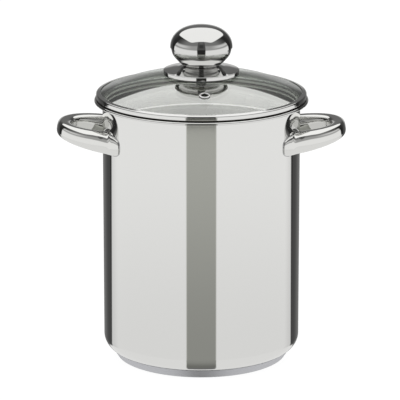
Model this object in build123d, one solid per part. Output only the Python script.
from build123d import *
import os
from math import sin, cos, tan, pi, radians, sqrt

# Tall stove-top canning pot with a glass lid and a lift-out wire jar rack.
# Millimetres, +Z up, origin at the centre of the underside of the base.
# +X points to the right-hand loop handle, -Y is the side the steam vent faces.
# In names, R is a radius, T a sheet thickness and Z a height.

os.makedirs("parts", exist_ok=True)
parts = {}

# ------------------------------------------------------------------ driving dimensions
GAP = 0.02              # air left between two pieces that touch

# pot
R_POT = 80.0            # outside of the wall
T_POT = 0.8
Z_FLOOR = 6.0           # underside of the pot floor
R_CORNER = 12.0         # outside radius of the drawn bottom corner
Z_NECK = 211.35         # top of the straight wall
R_FLARE = 3.2           # outside radius of the flare under the rim
R_BEAD = 1.25           # section radius of the rolled rim bead
BEAD_CENTRE = (85.4, Z_NECK + R_FLARE - (R_BEAD - T_POT))
T_CAPSULE = 0.6         # base capsule sheet

# glass dome of the lid: two concentric spheres
R_DOME, Z_DOME, T_GLASS = 205.0, 32.3, 3.5
R_DOME_INNER = R_DOME - T_GLASS
R_GLASS_EDGE = 82.9
R_GLASS_HOLE = 4.5      # hole for the knob screw
VENT_X, R_VENT = 2.6, 55.0      # place of the steam vent, towards -Y
R_VENT_HOLE = 3.3

# steel lid band
R_BAND, T_BAND = 85.2, 0.6
Z_SEAT = BEAD_CENTRE[1] + R_BEAD + 0.05     # underside of the seat flange, clear of the bead
Z_HEM = 216.35          # underside of the hem outside the seat flange
R_SKIRT, Z_SKIRT = 78.5, 208.5


# ------------------------------------------------------------------ helpers
def polar(centre, radius, angle):
    """(r, z) point on a circle, angle in degrees."""
    a = radians(angle)
    return (centre[0] + radius * cos(a), centre[1] + radius * sin(a))


def in_xz(point):
    return Vector(point[0], 0, point[1])


def arc(centre, radius, start, end):
    """Arc in the X-Z plane between two angles in degrees."""
    angles = (start, (start + end) / 2, end)
    return ThreePointArc(*[in_xz(polar(centre, radius, a)) for a in angles])


def spun(*items):
    """Solid of revolution about Z from a closed outline. Items are (r, z) points
    joined by straight lines, arcs, or lists of (r, z) points for a smooth curve."""
    edges, first, last = [], None, None
    for item in items:
        if isinstance(item, tuple):
            edge = None
            start = end = in_xz(item)
        else:
            edge = Spline(*[in_xz(p) for p in item]) if isinstance(item, list) else item
            start, end = edge @ 0, edge @ 1
        if first is None:
            first = start
        elif (start - last).length > 1e-6:
            edges.append(Line(last, start))
        if edge is not None:
            edges.append(edge)
        last = end
    if (first - last).length > 1e-6:
        edges.append(Line(last, first))
    return revolve(Face(Wire(edges)), Axis.Z, 360)


def ring(r_in, r_out, z_low, z_high):
    return spun((r_in, z_low), (r_out, z_low), (r_out, z_high), (r_in, z_high))


def wire_ring(major, minor, z):
    return Pos(0, 0, z) * Torus(major, minor)


def rod(start, end, radius):
    start, end = Vector(*start), Vector(*end)
    plane = Plane(origin=start, z_dir=(end - start).normalized())
    return Solid.extrude(Face(Wire(Edge.make_circle(radius, plane))), end - start)


# ------------------------------------------------------------------ pot
corner = (R_POT - R_CORNER, Z_FLOOR + R_CORNER)
flare = (R_POT + R_FLARE, Z_NECK)
parts["pot_body"] = spun(
    (0, Z_FLOOR),
    arc(corner, R_CORNER, -90, 0),
    arc(flare, R_FLARE, 180, 90),
    arc(BEAD_CENTRE, R_BEAD - T_POT, 90, -180),
    arc(BEAD_CENTRE, R_BEAD, -180, 90),
    arc(flare, R_FLARE + T_POT, 90, 180),
    arc(corner, R_CORNER - T_POT, 0, -90),
    (0, Z_FLOOR + T_POT),
)

# aluminium disc that spreads the heat
z_core = T_CAPSULE + GAP
parts["base_core"] = spun((0, z_core), (67.6, z_core), (68.4, 1.4), (71.1, Z_FLOOR - 0.4),
                          (68.0, Z_FLOOR - GAP), (0, Z_FLOOR - GAP))


# steel capsule pressed over the disc, its top edge following the pot's corner
def under_corner(r):
    """Point 0.1 below the pot's corner curve."""
    return (r, corner[1] - sqrt(R_CORNER ** 2 - (r - corner[0]) ** 2) - 0.1)


R_CAPSULE = 73.6        # top edge of the capsule
parts["base_cap"] = spun(
    (0, 0),
    [(68.3, 0), (69.2, 0.35), (69.75, 1.15)],
    under_corner(R_CAPSULE),
    under_corner(R_CAPSULE - 0.75),
    [(69.2, 1.45), (68.8, 0.85), (68.1, T_CAPSULE)],
    (0, T_CAPSULE),
)

# ------------------------------------------------------------------ loop handles
# The bar follows a superellipse half-loop, tips up, and ends in flared feet.
HANDLE_TILT = 9.75                      # degrees
HANDLE_Z = 185.83                       # height where it meets the pot wall
HANDLE_X = 78.0                         # centre of the superellipse
HANDLE_REACH, HANDLE_HALF_SPAN, HANDLE_EXPONENT = 33.13, 29.2, 2.15
BAR_TIP, BAR_ROOT = (5.81, 6.34), (8.27, 8.71)      # half thickness, half height
BAR_EXPONENT = 2.58
BAR_ANGLES = (-80, -68, -56, -44, -32, -21, -10, 0, 10, 21, 32, 44, 56, 68, 80)
# foot sections, outermost first: x, y, turn of the normal from -X in degrees,
# half thickness, half height, exponent
FEET = [
    (77.0, 29.8, 6, 8.8, 8.6, 2.6),
    (75.2, 31.4, 15, 10.9, 8.4, 2.8),
    (72.4, 33.5, 24, 14.0, 8.1, 3.0),
    (69.4, 32.1, 24, 14.6, 8.1, 3.0),
]


def signed_power(value, exponent):
    """One coordinate of a superellipse from a cosine or sine."""
    return abs(value) ** (2 / exponent) * (1 if value >= 0 else -1)


def superellipse(centre, across, up, half_thick, half_high, exponent, count=20):
    points = []
    for i in range(count):
        a = 2 * pi * (i + 0.5) / count
        points.append(centre + across * (half_thick * signed_power(cos(a), exponent))
                      + up * (half_high * signed_power(sin(a), exponent)))
    return Face(Wire([Spline(*points, periodic=True)]))


def on_tilt(x, y):
    return Vector(x, y, HANDLE_Z + tan(radians(HANDLE_TILT)) * (x - R_POT))


def bar_centre(angle):
    a = radians(angle)
    return on_tilt(HANDLE_X + HANDLE_REACH * abs(cos(a)) ** (2 / HANDLE_EXPONENT),
                   HANDLE_HALF_SPAN * signed_power(sin(a), HANDLE_EXPONENT))


def bar_section(angle):
    centre = bar_centre(angle)
    along = (bar_centre(angle + 0.5) - bar_centre(angle - 0.5)).normalized()
    up = Vector(-sin(radians(HANDLE_TILT)), 0, cos(radians(HANDLE_TILT)))
    across = along.cross(up).normalized()
    # 0 at the tip of the loop, 1 at its roots
    blend = min(max((HANDLE_X + HANDLE_REACH - centre.X) / HANDLE_REACH, 0), 1)
    half_thick, half_high = [tip + (root - tip) * blend for tip, root in zip(BAR_TIP, BAR_ROOT)]
    return superellipse(centre, across, up, half_thick, half_high, BAR_EXPONENT)


def foot_section(station, side):
    """Section of a flared foot; side is 1 towards +Y and -1 towards -Y."""
    x, y, turn, half_thick, half_high, exponent = station
    across = Vector(-sin(radians(turn)), side * cos(radians(turn)), 0)
    if side < 0:
        across = Vector(sin(radians(turn)), cos(radians(turn)), 0)
    return superellipse(on_tilt(x, y * side), across, Vector(0, 0, 1),
                        half_thick, half_high, exponent)


sections = [foot_section(station, -1) for station in reversed(FEET)]
sections += [bar_section(angle) for angle in BAR_ANGLES]
sections += [foot_section(station, 1) for station in FEET]
handle = loft(sections) - Cylinder(R_POT + GAP, 400)
parts["handle_left"] = mirror(handle, about=Plane.YZ)
parts["handle_right"] = handle


# ------------------------------------------------------------------ glass lid
def dome_z(r, sphere=R_DOME):
    return Z_DOME + sqrt(sphere * sphere - r * r)


def dome_arc(sphere, start, end):
    return ThreePointArc(*[in_xz((r, dome_z(r, sphere))) for r in (start, (start + end) / 2, end)])


r_top, r_under = R_GLASS_EDGE - 0.6, R_GLASS_EDGE - 0.4     # where the edge bevels begin
lid_glass = spun(
    dome_arc(R_DOME, R_GLASS_HOLE, r_top),
    (R_GLASS_EDGE, dome_z(r_top) - 0.7),
    (R_GLASS_EDGE, dome_z(r_under, R_DOME_INNER) + 0.5),
    dome_arc(R_DOME_INNER, r_under, R_GLASS_HOLE),
)
vent_y = -sqrt(R_VENT ** 2 - VENT_X ** 2)
vent_normal = Vector(VENT_X, vent_y, dome_z(R_VENT) - Z_DOME).normalized()
vent_plane = Plane(origin=Vector(0, 0, Z_DOME) + vent_normal * R_DOME, z_dir=vent_normal)
parts["lid_glass"] = lid_glass - vent_plane * Cylinder(R_VENT_HOLE, 20)

# stamped steel band: guide skirt, flange that sits on the rim bead, hem standing
# clear of the rim, wall, lip over the glass edge; then back along the inner face
R_SHOULDER, R_SEAT_BEND = 1.15, 0.9
LIP_GAP = 0.03          # lip to glass
shoulder = (R_BAND - R_SHOULDER, 219.4)
seat_bend = (R_SKIRT + R_SEAT_BEND, Z_SEAT - R_SEAT_BEND)
parts["lid_band"] = spun(
    (R_SKIRT, Z_SKIRT),
    arc(seat_bend, R_SEAT_BEND, 180, 90),
    (83.5, Z_SEAT),
    (83.9, Z_HEM),
    arc((R_BAND - 0.7, Z_HEM + 0.7), 0.7, -90, 0),
    arc(shoulder, R_SHOULDER, 0, 82),
    [(82.0, dome_z(82.0) + LIP_GAP + T_BAND),
     (81.62, dome_z(81.62) + 0.38),
     (81.8, dome_z(81.8) + LIP_GAP)],
    (82.3, dome_z(82.3) + LIP_GAP),
    arc(shoulder, R_SHOULDER - T_BAND, 82, 0),
    arc((R_BAND - T_BAND - 0.3, Z_HEM + T_BAND + 0.3), 0.3, 0, -90),
    (83.5, Z_HEM + T_BAND),
    (83.1, Z_SEAT + T_BAND),
    arc(seat_bend, R_SEAT_BEND + T_BAND, 90, 180),
    (R_SKIRT - T_BAND, Z_SKIRT),
)

# vent eyelet: rolled flange outside, barrel through the glass, end below the glass
parts["vent_eyelet"] = vent_plane * spun(
    (2.6, 0.45), (2.6, -T_GLASS - 0.9), (3.15, -T_GLASS - 0.9), (3.15, GAP),
    [(4.1, GAP), (4.7, 0.3), (4.45, 0.85), (3.6, 1.05), (2.9, 0.9), (2.6, 0.45)],
)
parts["vent_washer"] = vent_plane * ring(3.2, 4.6, -T_GLASS - 0.8, -T_GLASS - 0.08)

# ------------------------------------------------------------------ knob and its hardware
R_KNOB, KNOB_HEIGHT, Z_KNOB, KNOB_EXPONENT = 25.1, 18.1, 257.25, 2.25
T_KNOB = 0.8
R_ROSETTE, Z_ROSETTE = 30.8, 236.0      # skirt of the rosette and its lower edge
R_SCREW, R_SCREW_BORE = 2.5, 2.55       # M5 knob screw and its thread bore
R_CLEAR = 2.7           # screw hole in gasket, washer and bush
R_PLATE_HOLE = 3.2      # screw hole in rosette and cup
R_BUSH = 9.0
# undersides of the stacked pieces, from the bottom up
Z_SPRING, Z_WASHER, Z_LOWER_GASKET = 229.75, 231.05, 232.15
Z_BUSH, Z_BUSH_FLANGE = 233.75, 237.35
Z_PLATE = 242.07        # flat middle of the rosette
Z_CUP = 243.05

z_gasket = dome_z(28.2) + 0.05
parts["knob_gasket"] = spun((28.2, z_gasket), (30.6, z_gasket), (30.6, 235.95),
                            (29.85, 235.95), (29.85, 237.0), (28.2, 237.0))
parts["glass_bush"] = spun((R_CLEAR, Z_BUSH), (4.42, Z_BUSH), (4.42, Z_BUSH_FLANGE),
                           (R_BUSH, Z_BUSH_FLANGE), (R_BUSH, Z_PLATE - GAP),
                           (R_CLEAR, Z_PLATE - GAP))
parts["lower_gasket"] = ring(R_CLEAR, R_BUSH, Z_LOWER_GASKET, 233.55)
z_top = Z_LOWER_GASKET - GAP
parts["screw_washer"] = spun((R_CLEAR, Z_WASHER), (8.2, Z_WASHER), (8.5, Z_WASHER + 0.3),
                             (8.5, z_top), (R_CLEAR, z_top))

# spring washer, split by a slanted slot
z_top = Z_WASHER - GAP
slot = Pos(3.6, 0, (Z_SPRING + z_top) / 2) * Rot(28, 0, 0) * Box(3.0, 0.9, 6)
parts["spring_washer"] = ring(2.75, 4.5, Z_SPRING, z_top) - slot

# screw, with a cross recess in the underside of its head
z_top = Z_SPRING - GAP
screw = spun(
    [(0, 226.45), (2.4, 226.6), (4.1, 227.35), (4.75, 228.65)],
    (4.75, z_top), (R_SCREW, z_top), (R_SCREW, 252.05), (2.1, 252.45), (0, 252.45),
)
parts["knob_screw"] = screw - Pos(0, 0, 227.35) * (Box(5.0, 1.1, 2.4) + Box(1.1, 5.0, 2.4))


# domed steel cap of the knob
def cap_curve(radius, height, count=13):
    """Quarter superellipse from the rim to the axis."""
    points = []
    for i in range(count - 1):
        a = radians(90 * i / (count - 1))
        points.append((radius * cos(a) ** (2 / KNOB_EXPONENT),
                       Z_KNOB + height * sin(a) ** (2 / KNOB_EXPONENT)))
    return points + [(0.0, Z_KNOB + height)]


parts["knob_cap"] = spun(cap_curve(R_KNOB, KNOB_HEIGHT),
                         cap_curve(R_KNOB - T_KNOB, KNOB_HEIGHT - T_KNOB)[::-1])

# cup that closes the knob from below
CUP_OUTER = [(24.22, 257.45), (24.1, 255.05), (22.93, 251.45), (20.5, 248.2),
             (18.2, 245.75), (16.0, 243.8), (14.6, Z_CUP)]
CUP_INNER = [(14.3, Z_CUP + T_KNOB), (15.6, 244.55), (17.5, 246.3), (19.85, 248.75),
             (22.2, 251.8), (23.32, 255.2), (23.42, 257.45)]
parts["knob_cup"] = spun(CUP_OUTER, (R_PLATE_HOLE, Z_CUP), (R_PLATE_HOLE, Z_CUP + T_KNOB),
                         CUP_INNER, (23.42, 258.65), (24.2, 258.65))

# hexagonal insert standing on the cup floor
on_cup = Pos(0, 0, Z_CUP + T_KNOB + GAP)
parts["knob_insert"] = (on_cup * extrude(RegularPolygon(5.6, 6), 11.6)
                        - on_cup * Cylinder(R_SCREW_BORE, 30))

# rosette: spun plate falling gently from the cone to a short straight skirt
R_EDGE, EDGE_ANGLE = 0.6, 78
edge_centre = (R_ROSETTE - R_EDGE, 238.35)
parts["knob_rosette"] = spun(
    (R_ROSETTE, Z_ROSETTE),
    arc(edge_centre, R_EDGE, 0, EDGE_ANGLE),
    [polar(edge_centre, R_EDGE, EDGE_ANGLE), (27.0, 239.65), (24.0, 240.1), (21.0, 240.35)],
    [(21.0, 240.35), (19.3, 240.65), (17.5, 241.65), (16.0, 242.35), (14.7, 242.75), (13.8, 242.9)],
    (R_PLATE_HOLE, 242.9), (R_PLATE_HOLE, Z_PLATE),
    [(13.6, Z_PLATE), (14.2, 241.9), (15.4, 241.4), (17.0, 240.6), (18.9, 239.75), (20.8, 239.5)],
    [(20.8, 239.5), (24.0, 239.25), (27.0, 238.8), (29.6, 238.2)],
    (R_ROSETTE - T_KNOB, 237.9), (R_ROSETTE - T_KNOB, Z_ROSETTE),
)

# ------------------------------------------------------------------ wire jar rack
R_WIRE, R_THIN_WIRE = 1.75, 1.5
RACK_GAP = 0.03         # between posts and rings
R_FLOOR_RING, R_FLOOR_WIRE, Z_FLOOR_RING = 64.7, 2.0, 18.8
R_POST = R_FLOOR_RING + R_FLOOR_WIRE + R_WIRE + RACK_GAP
Z_MID_RING, Z_TOP_RING, Z_EYE = 70.0, 122.0, 128.5
WIRE_PITCH = 17
CROSS_X, CROSS_CHORD = 26, 27.5     # place of the cross bars, and the chord that sets their length
FOOT_HALF_WIDTH, FOOT_BEND, Z_FOOT_TOP = 10, 5, 20.2

parts["rack_floor_ring"] = wire_ring(R_FLOOR_RING, R_FLOOR_WIRE, Z_FLOOR_RING)

# parallel wires lying on the floor ring, and two bars crossing beneath them
z_wire = Z_FLOOR_RING + R_FLOOR_WIRE + R_THIN_WIRE + GAP
floor_wires = []
for i in range(-3, 4):
    y = i * WIRE_PITCH
    x = sqrt(R_FLOOR_RING ** 2 - y * y)
    floor_wires.append(rod((-x, y, z_wire), (x, y, z_wire), R_THIN_WIRE))
parts["rack_floor_wires"] = floor_wires

z_bar = z_wire - 2 * R_THIN_WIRE - GAP
y_end = sqrt((R_FLOOR_RING - R_FLOOR_WIRE - 0.1) ** 2 - CROSS_CHORD ** 2)
parts["rack_cross_bars"] = [rod((x, -y_end, z_bar), (x, y_end, z_bar), R_THIN_WIRE)
                            for x in (-CROSS_X, CROSS_X)]

# U-shaped feet inside the floor ring
z_foot = Z_FLOOR + T_POT + 0.05 + R_WIRE
x_foot = sqrt((R_FLOOR_RING - R_FLOOR_WIRE - R_WIRE - 0.06) ** 2 - FOOT_HALF_WIDTH ** 2)
foot_points = [(x_foot, -FOOT_HALF_WIDTH, Z_FOOT_TOP), (x_foot, -FOOT_HALF_WIDTH, z_foot),
               (x_foot, FOOT_HALF_WIDTH, z_foot), (x_foot, FOOT_HALF_WIDTH, Z_FOOT_TOP)]
feet = []
for angle in (45, 135, 225, 315):
    path = FilletPolyline(*foot_points, radius=FOOT_BEND)
    foot = sweep(Plane(origin=foot_points[0], z_dir=(0, 0, -1)) * Circle(R_WIRE), path=path)
    feet.append(Rot(0, 0, angle) * foot)
parts["rack_feet"] = feet


# posts outside the floor ring; the two on the X axis end in eyes for the bail
def post(z_end):
    return rod((R_POST, 0, Z_FLOOR_RING - R_FLOOR_WIRE), (R_POST, 0, z_end), R_WIRE)


parts["rack_uprights"] = [Rot(0, 0, angle) * post(Z_TOP_RING + R_WIRE)
                          for angle in (60, 120, 240, 300)]
r_eye = 1.85 + R_WIRE
eye_posts = []
for angle in (0, 180):
    eye = Pos(R_POST, 0, Z_EYE) * Rot(0, 90, 0) * Torus(r_eye, R_WIRE)
    eye_posts.append(Rot(0, 0, angle) * (post(Z_EYE - r_eye) + eye))
parts["rack_eye_posts"] = eye_posts

r_outside = R_POST + R_WIRE + RACK_GAP
parts["rack_mid_ring"] = wire_ring(r_outside + R_THIN_WIRE, R_THIN_WIRE, Z_MID_RING)
parts["rack_top_ring"] = wire_ring(r_outside + R_WIRE, R_WIRE, Z_TOP_RING)

# bail: one bent wire, its two ends run out through the eyes and are upset into heads
BAIL_X, BAIL_Y = 62.0, 72.5     # half width and reach of the arch
BAIL_REST = 2.2                 # degrees the folded bail hangs below level
BAIL_STRAIGHT = 4.5             # y where the arch starts
BAIL_END, BAIL_BEND, R_BAIL_HEAD = 72.3, 3.0, 2.6


def mirrored(point):
    return Vector(-point.X, point.Y, point.Z)


arch_points = [Vector(BAIL_X * cos(radians(a)),
                      BAIL_STRAIGHT + (BAIL_Y - BAIL_STRAIGHT) * sin(radians(a)), 0)
               for a in range(0, 181, 15)]
inset = BAIL_BEND * (1 - sqrt(0.5))
tip = Vector(BAIL_END, 0, 0)
bend_start = Vector(BAIL_X + BAIL_BEND, 0, 0)
bend_mid = Vector(BAIL_X + inset, inset, 0)
bend_end = Vector(BAIL_X, BAIL_BEND, 0)
bail_path = Wire([
    Line(tip, bend_start),
    ThreePointArc(bend_start, bend_mid, bend_end),
    Line(bend_end, arch_points[0]),
    Spline(*arch_points, tangents=[(0, 1, 0), (0, -1, 0)]),
    Line(arch_points[-1], mirrored(bend_end)),
    ThreePointArc(mirrored(bend_end), mirrored(bend_mid), mirrored(bend_start)),
    Line(mirrored(bend_start), mirrored(tip)),
])
bail = sweep(Plane(origin=tip, z_dir=(-1, 0, 0)) * Circle(R_WIRE), path=bail_path)
for side in (1, -1):
    bail += rod((side * (BAIL_END - 0.3), 0, 0), (side * (BAIL_END + 1.0), 0, 0), R_BAIL_HEAD)
parts["rack_bail"] = Pos(0, 0, Z_EYE) * Rot(-BAIL_REST, 0, 0) * bail

# ------------------------------------------------------------------ write
for name, shape in parts.items():
    if isinstance(shape, list):
        shape = Compound(children=shape)
    shape.label = name
    export_step(shape, f"parts/{name}.step")
